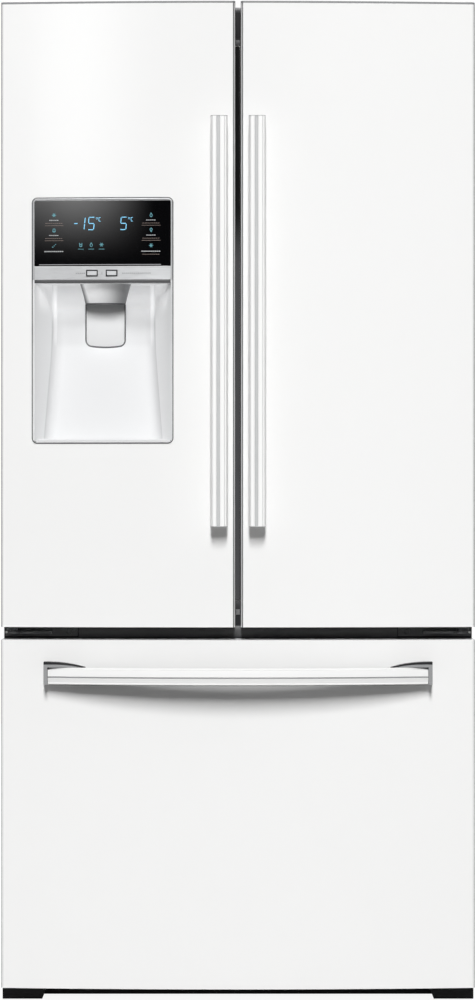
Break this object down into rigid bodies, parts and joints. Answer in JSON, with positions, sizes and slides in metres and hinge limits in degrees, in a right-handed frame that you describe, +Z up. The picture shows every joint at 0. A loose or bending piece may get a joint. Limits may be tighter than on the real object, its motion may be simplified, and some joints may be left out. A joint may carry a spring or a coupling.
{
  "type": "french door refrigerator",
  "caption": "White french door refrigerator with bowed fronts, bar handles, an ice and water dispenser in the left door and a pull-out freezer drawer below.",
  "frame": {"origin": "centre of the footprint, on the floor under the feet", "axes": "+Z up, -Y towards the front, +X to the right of someone facing the doors"},
  "size_m": [0.832, 0.908, 1.775],
  "materials": {
    "white_paint": "gloss white enamel",
    "cabinet_paint": "fine-textured white paint",
    "dark_frame": "satin dark grey",
    "cap_grey": "satin grey",
    "white_liner": "smooth white",
    "foam": "rigid foam",
    "white_handle": "satin white",
    "bracket_grey": "satin grey",
    "gasket_rubber": "soft grey",
    "black_plastic": "satin black",
    "control_glass": "glossy black",
    "silver_trim": "brushed",
    "recess_white": "smooth white",
    "chute_grey": "satin metallic",
    "lever_grey": "satin light grey",
    "button_silver": "satin silver",
    "clear_bin": "clear plastic",
    "shelf_glass": "clear tempered glass",
    "zinc_steel": "zinc plated",
    "black_steel": "black enamel",
    "aluminium_fins": "mill finish",
    "fan_plastic": "satin"
  },
  "bodies": {
    "cabinet": {"air_duct": "white_liner", "back_panel": "zinc_steel", "base_pan": "zinc_steel", "cabinet_insulation": "foam", "cabinet_wrapper": "cabinet_paint", "compressor": "black_steel", "condenser_coil": "black_steel", "condenser_fan_motor": "zinc_steel", "evaporator": "aluminium_fins", "evaporator_cover": "white_liner", "evaporator_fan_motor": "zinc_steel", "freezer_fixed_rails": "zinc_steel", "freezer_liner": "white_liner", "fridge_liner": "white_liner", "front_frame": "dark_frame", "hinge_screws": "zinc_steel", "ice_bucket": "clear_bin", "ice_maker": "white_liner", "levelling_legs": "black_steel", "middle_hinges": "dark_frame", "rear_cover": "zinc_steel", "shelf_frames": "white_liner", "shelf_glass": "shelf_glass", "toe_grille": "black_plastic", "top_hinge_covers": "cabinet_paint", "top_hinges": "zinc_steel"},
    "left_door": {"left_door_bins": "clear_bin", "left_door_caps": "cap_grey", "left_door_gasket": "gasket_rubber", "left_door_liner": "white_liner", "left_door_skin": "white_paint", "left_handle": "white_handle", "dispenser_housing": "recess_white", "control_glass": "control_glass", "dispenser_strip": "silver_trim", "ice_chute": "chute_grey"},
    "right_door": {"right_door_bins": "clear_bin", "right_door_caps": "cap_grey", "right_door_gasket": "gasket_rubber", "right_door_liner": "white_liner", "right_door_skin": "white_paint", "right_handle": "white_handle"},
    "freezer_drawer": {"freezer_skin": "white_paint", "freezer_front_liner": "white_liner", "freezer_gasket": "gasket_rubber", "freezer_handle": "white_handle", "freezer_handle_brackets": "bracket_grey", "drawer_frame": "zinc_steel", "freezer_basket": "clear_bin"},
    "flipper": {"flipper_bar": "dark_frame"},
    "lever": {"dispenser_lever": "lever_grey"},
    "ice_button": {"ice_button": "button_silver"},
    "water_button": {"water_button": "button_silver"},
    "middle_rails": {"freezer_middle_rails": "zinc_steel"},
    "upper_drawer": {"freezer_upper_drawer": "clear_bin"},
    "crisper_left": {"crisper_left": "clear_bin"},
    "crisper_right": {"crisper_right": "clear_bin"},
    "condenser_fan": {"condenser_fan": "fan_plastic"},
    "evaporator_fan": {"evaporator_fan": "fan_plastic"},
    "rollers": {"rear_rollers": "black_plastic"}
  },
  "joints": [
    {"name": "left_door_hinge", "type": "hinge", "parent": "cabinet", "child": "left_door", "pos_m": [-0.398, -0.305, 0.66], "axis": [0, 0, -1], "range_deg": [0, 120]},
    {"name": "right_door_hinge", "type": "hinge", "parent": "cabinet", "child": "right_door", "pos_m": [0.398, -0.305, 0.66], "axis": [0, 0, 1], "range_deg": [0, 120]},
    {"name": "flipper_hinge", "type": "hinge", "parent": "left_door", "child": "flipper", "pos_m": [-0.036, -0.2628, 1.2], "axis": [0, 0, 1], "range_deg": [0, 90]},
    {"name": "lever_hinge", "type": "hinge", "parent": "left_door", "child": "lever", "pos_m": [-0.2336, -0.326, 1.223], "axis": [1, 0, 0], "range_deg": [0, 8], "stiffness_Nm_per_rad": 0.5},
    {"name": "ice_button_press", "type": "slide", "parent": "left_door", "child": "ice_button", "axis": [0, 1, 0], "range_m": [0, 0.002], "stiffness_N_per_m": 400},
    {"name": "water_button_press", "type": "slide", "parent": "left_door", "child": "water_button", "axis": [0, 1, 0], "range_m": [0, 0.002], "stiffness_N_per_m": 400},
    {"name": "freezer_slide", "type": "slide", "parent": "cabinet", "child": "freezer_drawer", "axis": [0, -1, 0], "range_m": [0, 0.45]},
    {"name": "middle_rail_slide", "type": "slide", "parent": "cabinet", "child": "middle_rails", "axis": [0, -1, 0], "range_m": [0, 0.225]},
    {"name": "upper_drawer_slide", "type": "slide", "parent": "cabinet", "child": "upper_drawer", "axis": [0, -1, 0], "range_m": [0, 0.36]},
    {"name": "crisper_left_slide", "type": "slide", "parent": "cabinet", "child": "crisper_left", "axis": [0, -1, 0], "range_m": [0, 0.2]},
    {"name": "crisper_right_slide", "type": "slide", "parent": "cabinet", "child": "crisper_right", "axis": [0, -1, 0], "range_m": [0, 0.2]},
    {"name": "condenser_fan_spin", "type": "hinge", "parent": "cabinet", "child": "condenser_fan", "pos_m": [0.03, 0.33, 0.172], "axis": [1, 0, 0], "continuous": true},
    {"name": "evaporator_fan_spin", "type": "hinge", "parent": "cabinet", "child": "evaporator_fan", "pos_m": [0, 0.349, 0.548], "axis": [0, 1, 0], "continuous": true},
    {"name": "roller_spin", "type": "hinge", "parent": "cabinet", "child": "rollers", "pos_m": [0.345, 0.37, 0.022], "axis": [1, 0, 0], "continuous": true}
  ],
  "couplings": [
    {"joint": "flipper_hinge", "follows": "left_door_hinge", "ratio": 0.75},
    {"joint": "middle_rail_slide", "follows": "freezer_slide", "ratio": 0.5},
    {"joint": "upper_drawer_slide", "follows": "freezer_slide", "ratio": 0.8},
    {"joint": "crisper_left_slide", "follows": "left_door_hinge", "m_per_rad": 0.09549},
    {"joint": "crisper_right_slide", "follows": "right_door_hinge", "m_per_rad": 0.09549}
  ]
}
